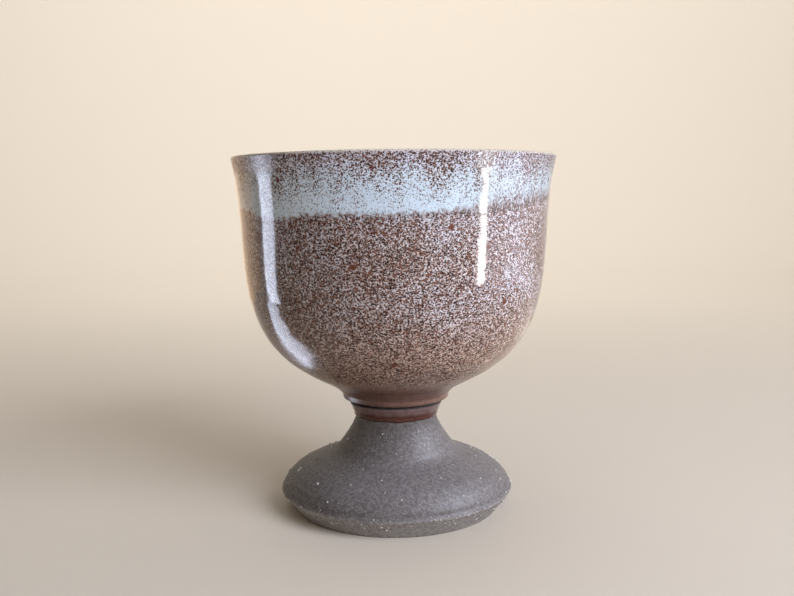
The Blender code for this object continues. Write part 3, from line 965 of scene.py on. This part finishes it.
def linerDepth(reach, left, place):
    # thinner under the white lap and at its upper end
    depth = coatForm["full"] - linerCoat["underLap"] * ease(place.y, *linerCoat["lapFrom"])
    top = risen(linerCoat["topLeast"], ease(left, 0.0, linerCoat["topReach"]))
    return coatForm["seat"] + (depth - coatForm["seat"]) * top


def linerMark(reach, left, place):
    return ease(reach, *linerCoat["ringsFromFloor"]) * ease(left, *linerCoat["ringsFromTop"])


linerRows = layer(evenSteps(linerClay, linerCoat["gap"]), linerDepth, mark=linerMark)
linerRows += layer(evenSteps(linerClay, linerCoat["hiddenGap"]), coatForm["seat"])[::-1]
throwPiece("linerGlazeCoat", linerRows, linerCoat["wheel"], linerGlaze, "liner_glaze")

stemCoat = {
    "edge": 26.2, "gap": 0.22, "hiddenGap": 0.7,
    "seat": 0.1, "thin": 0.42, "swell": 0.40, "swells": (0.4, 2.6),
    "topReach": 0.6, "topLeast": 0.3, "toeReach": 0.8, "toeLeast": 0.05, "wavesFade": (0.8, 2.6),
    "wheel": {
        "Turn Steps": 288, "Ring Depth": 0.0, "Ring Pitch": 4.0 * mm, "Wobble": 0.0, "Seed": 21.0,
        "Edge Tilt": 0.15 * mm, "Tilt Turn": math.radians(80),
        "Edge Ripple": 1.0 * mm, "Ripple Length": 5.0 * mm,
    },
}
stemClay = clipped(stemSide + footOutside, stemCoat["edge"], stemTop)


def stemDepth(reach, left, place):
    # thin at the joint, swelling to a roll that ends in a round lower edge
    top = risen(stemCoat["topLeast"], roundEdge(reach, stemCoat["topReach"]))
    toe = risen(stemCoat["toeLeast"], roundEdge(left, stemCoat["toeReach"]))
    depth = stemCoat["thin"] + stemCoat["swell"] * ease(reach, *stemCoat["swells"])
    return stemCoat["seat"] + (depth - stemCoat["seat"]) * top * toe


def stemEdge(reach, left, place):
    return 1.0 - ease(left, *stemCoat["wavesFade"])


def stemAbove(reach, left, place):
    return left


stemPath = evenSteps(stemClay, stemCoat["gap"])
stemRows = layer(stemPath, stemDepth, edge=stemEdge, above=stemAbove)
stemBackPath = evenSteps(stemClay, stemCoat["hiddenGap"])
stemRows += layer(stemBackPath, stemCoat["seat"], edge=stemEdge, above=stemAbove)[::-1]
stemWheel = stemCoat["wheel"]
throwPiece("stemGlazeCoat", stemRows, stemWheel, runGlaze, "stem_glaze", ring=True)

for node, finish in (("bowl", cupClay), ("joining_slip", slipClay)):
    clay = bpy.data.objects[node]
    clay.data.materials.clear()
    clay.data.materials.append(finish)
print("clay nodes finished")

# Stage, lights and camera

stageForm = {
    "flat": 0.75, "sweep": 0.45, "height": 1.3, "flatSteps": 10, "sweepSteps": 15, "sides": 96,
    "colour": "#dcd2c4", "roughness": 0.85, "fibre": 0.9, "fibreDepth": 0.05, "fibreStrength": 0.06,
}


def makePaper(name, form):
    # thick studio paper, matte, with a faint tooth of fibres
    material, tree, shader = newFinish(name)
    spot = addNode(tree, "TexCoord")["Object"]
    links = {"Vector": spot, "Scale": 1 / (form["fibre"] * mm), "Detail": 2.0}
    fibre = addNode(tree, "TexNoise", links)["Fac"]
    links = {"Height": fibre, "Strength": form["fibreStrength"], "Distance": form["fibreDepth"] * mm}
    bump = addNode(tree, "Bump", links)[0]
    plug(tree, shader, {"Base Color": paint(form["colour"]), "Roughness": form["roughness"], "Normal": bump})
    return material


def buildStage(form):
    # a pale studio sweep turned round the goblet, so that every side has the same backdrop
    sides = form["sides"]
    rows = [(form["flat"] * step / form["flatSteps"], 0.0) for step in range(1, form["flatSteps"])]
    for step in range(form["sweepSteps"] + 1):
        turn = math.pi / 2 * step / form["sweepSteps"]
        rows.append((form["flat"] + form["sweep"] * math.sin(turn), form["sweep"] * (1 - math.cos(turn))))
    rows.append((rows[-1][0], form["height"]))
    places = [(0.0, 0.0, 0.0)]
    for radius, height in rows:
        for step in range(sides):
            turn = math.tau * step / sides
            places.append((radius * math.cos(turn), radius * math.sin(turn), height))
    faces = [(0, 1 + step, 1 + (step + 1) % sides) for step in range(sides)]
    for row in range(len(rows) - 1):
        low = 1 + sides * row
        high = low + sides
        for step in range(sides):
            after = (step + 1) % sides
            faces.append((low + step, high + step, high + after, low + after))
    mesh = bpy.data.meshes.new("studioSweep")
    mesh.from_pydata(places, [], faces)
    mesh.shade_smooth()
    mesh.materials.append(makePaper("matte studio paper", form))
    sweep = bpy.data.objects.new("studioSweep", mesh)
    bpy.context.scene.collection.objects.link(sweep)


buildStage(stageForm)

# turn is degrees to the right of the camera as seen from the goblet; sizes in metres, power in watts
# a level lamp faces the axis at its own height; a flat one lies low and faces up, turned by so many degrees
# without gloss a lamp makes no highlight, without diffuse only that; onto names all that it lights
onGlaze = {"diffuse": False, "onto": ("outerGlazeCoat", "rimGlazeCoat", "linerGlazeCoat")}
lamps = {
    "keySoftbox": {"turn": 44, "reach": 0.60, "height": 0.34, "size": (0.45, 0.45), "power": 6.0,
                   "colour": "#ebf1ff", "gloss": False},
    "topSoftbox": {"turn": 0, "reach": 0.10, "height": 0.85, "size": (0.70, 0.70), "power": 1.1,
                   "colour": "#ffffff"},
    "backdropWash": {"turn": 180, "reach": 0.45, "height": 0.80, "size": (0.90, 0.25), "power": 7.6,
                     "colour": "#ffffff", "aim": (0.0, 1.2, 0.25), "gloss": False},
    "footLight": {"turn": 78, "reach": 0.32, "height": 0.30, "size": (0.12, 0.12), "power": 2.05,
                  "colour": "#e9eeff", "onto": ("thrownFoot", "grogGrains", "stemGlazeCoat")},
    "lowFill": {"turn": 72, "reach": 0.33, "height": 0.015, "size": (0.30, 0.20), "power": 1.50,
                "colour": "#eef1ff", "gloss": False, "onto": ("outerGlazeCoat",)},
    "rightGlow": {"turn": 85, "reach": 0.28, "height": 0.06, "size": (0.19, 0.16), "power": 0.21,
                  "colour": "#ecebff", "level": True, **onGlaze},
    "rightWide": {"turn": 92, "reach": 0.30, "height": 0.10, "size": (0.36, 0.24), "power": 0.26,
                  "colour": "#f4f0f4", "level": True, **onGlaze},
    "rightStrip": {"turn": 58.7, "reach": 0.18, "height": 0.0460, "size": (0.020, 0.048), "power": 0.080,
                   "colour": "#ffffff", "shape": "ELLIPSE", "level": True, **onGlaze},
    "leftGlow": {"turn": -136, "reach": 0.30, "height": 0.06, "size": (0.25, 0.20), "power": 0.070,
                 "colour": "#ffb868", "level": True, **onGlaze},
    "leftWindow": {"turn": -94, "reach": 0.18, "height": 0.0489, "size": (0.041, 0.0770), "power": 0.105,
                   "colour": "#dfe8ff", "level": True, "roll": -15, **onGlaze},
    "leftCard": {"turn": -101.8, "reach": 0.1349, "height": 0.004, "size": (0.170, 0.038), "power": 0.118,
                 "colour": "#dfe8ff", "flat": -15, **onGlaze},
    "rightCard": {"turn": 100, "reach": 0.175, "height": 0.004, "size": (0.25, 0.26), "power": 0.065,
                  "colour": "#f6e2cc", "flat": 0, **onGlaze},
    "rightCardFar": {"turn": 100, "reach": 0.215, "height": 0.005, "size": (0.25, 0.26), "power": 0.065,
                     "colour": "#f6e2cc", "flat": 0, **onGlaze},
}
aim = Vector((0.0, 0.0, 0.06))
for name, lamp in lamps.items():
    light = bpy.data.lights.new(name, "AREA")
    light.shape = lamp.get("shape", "RECTANGLE")
    light.size, light.size_y = lamp["size"]
    light.energy = lamp["power"]
    light.color = paint(lamp["colour"])[:3]
    holder = bpy.data.objects.new(name, light)
    turn = math.radians(lamp["turn"])
    holder.location = (lamp["reach"] * math.sin(turn), -lamp["reach"] * math.cos(turn), lamp["height"])
    target = Vector((0.0, 0.0, lamp["height"])) if lamp.get("level") else Vector(lamp.get("aim", aim))
    facing = (target - holder.location).to_track_quat("-Z", "Y")
    roll = Quaternion((0.0, 0.0, 1.0), math.radians(lamp.get("roll", 0.0)))
    holder.rotation_euler = (facing @ roll).to_euler()
    if "flat" in lamp:
        holder.rotation_euler = (math.pi, 0.0, math.radians(lamp["flat"]))
    holder.visible_camera = False
    holder.visible_diffuse = lamp.get("diffuse", True)
    holder.visible_glossy = lamp.get("gloss", True)
    if "onto" in lamp:
        lit = bpy.data.collections.new(name + "Lit")
        for piece in lamp["onto"]:
            lit.objects.link(bpy.data.objects[piece])
        holder.light_linking.receiver_collection = lit
    bpy.context.scene.collection.objects.link(holder)

studioAir = {"Color": paint("#eef1f5"), "Strength": 0.02}
world = bpy.data.worlds.new("paleStudio")
world.use_nodes = True
plug(world.node_tree, world.node_tree.nodes["Background"], studioAir)
bpy.context.scene.world = world
bpy.context.scene.view_settings.view_transform = "Standard"
print("stage and lights ready")

# fitted to the outlines in the photograph: place in metres, angles in degrees, focal length in pixels
viewpoint = {
    "place": (0.00060, -0.25308, 0.08807), "down": 6.494, "roll": 0.555,
    "focalLength": 900.0, "frameWidth": 794, "sensor": 36.0, "nearest": 0.005,
}
camera = bpy.data.objects.new("photoCamera", bpy.data.cameras.new("photoCamera"))
camera.data.sensor_width = viewpoint["sensor"]
camera.data.sensor_fit = "HORIZONTAL"
camera.data.lens = viewpoint["focalLength"] / viewpoint["frameWidth"] * viewpoint["sensor"]
camera.data.clip_start = viewpoint["nearest"]
tilt = Matrix.Rotation(math.radians(90 - viewpoint["down"]), 4, "X")
roll = Matrix.Rotation(-math.radians(viewpoint["roll"]), 4, "Z")
camera.matrix_world = Matrix.Translation(viewpoint["place"]) @ tilt @ roll
bpy.context.scene.collection.objects.link(camera)
bpy.context.scene.camera = camera
